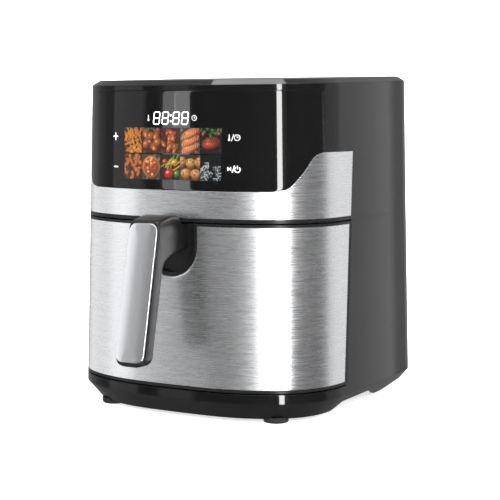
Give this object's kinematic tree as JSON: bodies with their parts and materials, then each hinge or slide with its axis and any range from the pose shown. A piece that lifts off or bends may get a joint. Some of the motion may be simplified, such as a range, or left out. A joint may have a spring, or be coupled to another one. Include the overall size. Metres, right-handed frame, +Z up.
{
  "type": "air fryer",
  "caption": "Counter-top air fryer: rounded black housing, touch panel, stainless band, and a pull-out drawer with pan, lift-out crisper plate and hanging handle.",
  "frame": {"origin": "on the surface the feet stand on, at the middle of the footprint with the handle included", "axes": "+Z up, the front faces -Y, +X to the right of someone facing the front"},
  "size_m": [0.2822, 0.3582, 0.329],
  "materials": {
    "gloss_black_plastic": "gloss moulded",
    "panel_black": "high gloss",
    "black_plastic": "fine satin",
    "brushed_steel": "brushed along the sheet",
    "satin_steel": "satin, bright bevel",
    "rubber": "matte",
    "sheet_steel": "galvanised",
    "screw_steel": "zinc plated",
    "element_sheath": "oxidised sheath",
    "laminations": "stacked",
    "copper_windings": "enamelled copper wire",
    "fan_aluminium": "pressed",
    "fan_plastic": "satin",
    "circuit_board": "solder mask",
    "board_parts": "moulded",
    "display_black": "display",
    "ribbon": "flat cable",
    "lead_insulation": "silicone sleeve",
    "sensor_metal": "plated",
    "nonstick": "non-stick coating",
    "silicone": "silicone"
  },
  "bodies": {
    "housing": {"upper_housing": "gloss_black_plastic", "control_panel": "panel_black", "fascia_carrier": "black_plastic", "steel_band": "brushed_steel", "lower_housing": "gloss_black_plastic", "base_cover": "black_plastic", "rubber_feet": "rubber", "bay_frame": "black_plastic", "cavity_liner": "sheet_steel", "drawer_rails": "sheet_steel", "rear_grille": "black_plastic", "heater_guard": "sheet_steel", "base_screws": "screw_steel", "heat_reflector": "sheet_steel", "heating_element": "element_sheath", "element_clips": "sheet_steel", "motor_stator": "laminations", "stator_windings": "copper_windings", "motor_end_cap": "sheet_steel", "motor_spacers": "screw_steel", "motor_bearings": "screw_steel", "motor_bracket": "sheet_steel", "motor_screws": "screw_steel", "bracket_screws": "screw_steel", "exhaust_duct": "sheet_steel", "power_board": "circuit_board", "board_components": "board_parts", "board_screws": "screw_steel", "touch_board": "circuit_board", "touch_board_screws": "screw_steel", "display_module": "display_black", "ribbon_cable": "ribbon", "heater_leads": "lead_insulation", "thermal_cutout": "sensor_metal", "temperature_sensor": "sensor_metal", "drawer_switch": "board_parts", "terminal_block": "board_parts", "terminal_screws": "screw_steel", "mains_wires": "lead_insulation", "cable_gland": "black_plastic", "housing_screws": "screw_steel"},
    "drawer": {"drawer_front": "black_plastic", "drawer_skin": "brushed_steel", "handle_pocket": "black_plastic", "drawer_back_plate": "black_plastic", "drawer_screws": "screw_steel", "handle_body": "black_plastic", "handle_plate": "satin_steel", "handle_screws": "screw_steel", "pan": "nonstick", "pan_bracket": "sheet_steel", "pan_screws": "screw_steel"},
    "crisper": {"crisper_plate": "nonstick", "plate_bumpers": "silicone"},
    "fan_rotor": {"motor_shaft": "screw_steel", "motor_rotor": "laminations", "hot_air_fan": "fan_aluminium", "cooling_fan": "fan_plastic", "fan_nut": "screw_steel"},
    "switch_plunger": {"switch_plunger": "fan_plastic"}
  },
  "joints": [
    {"name": "drawer_slide", "type": "slide", "parent": "housing", "child": "drawer", "axis": [0, -1, 0], "range_m": [0, 0.24]},
    {"name": "crisper_lift", "type": "slide", "parent": "drawer", "child": "crisper", "axis": [0, 0, 1], "range_m": [0, 0.1]},
    {"name": "fan_spin", "type": "hinge", "parent": "housing", "child": "fan_rotor", "pos_m": [0, 0.0541, 0.25], "axis": [0, 0, 1], "continuous": true},
    {"name": "plunger_slide", "type": "slide", "parent": "housing", "child": "switch_plunger", "axis": [0, -1, 0], "range_m": [0, 0.003]}
  ],
  "couplings": [
    {"joint": "plunger_slide", "follows": "drawer_slide", "ratio": 0.01}
  ]
}
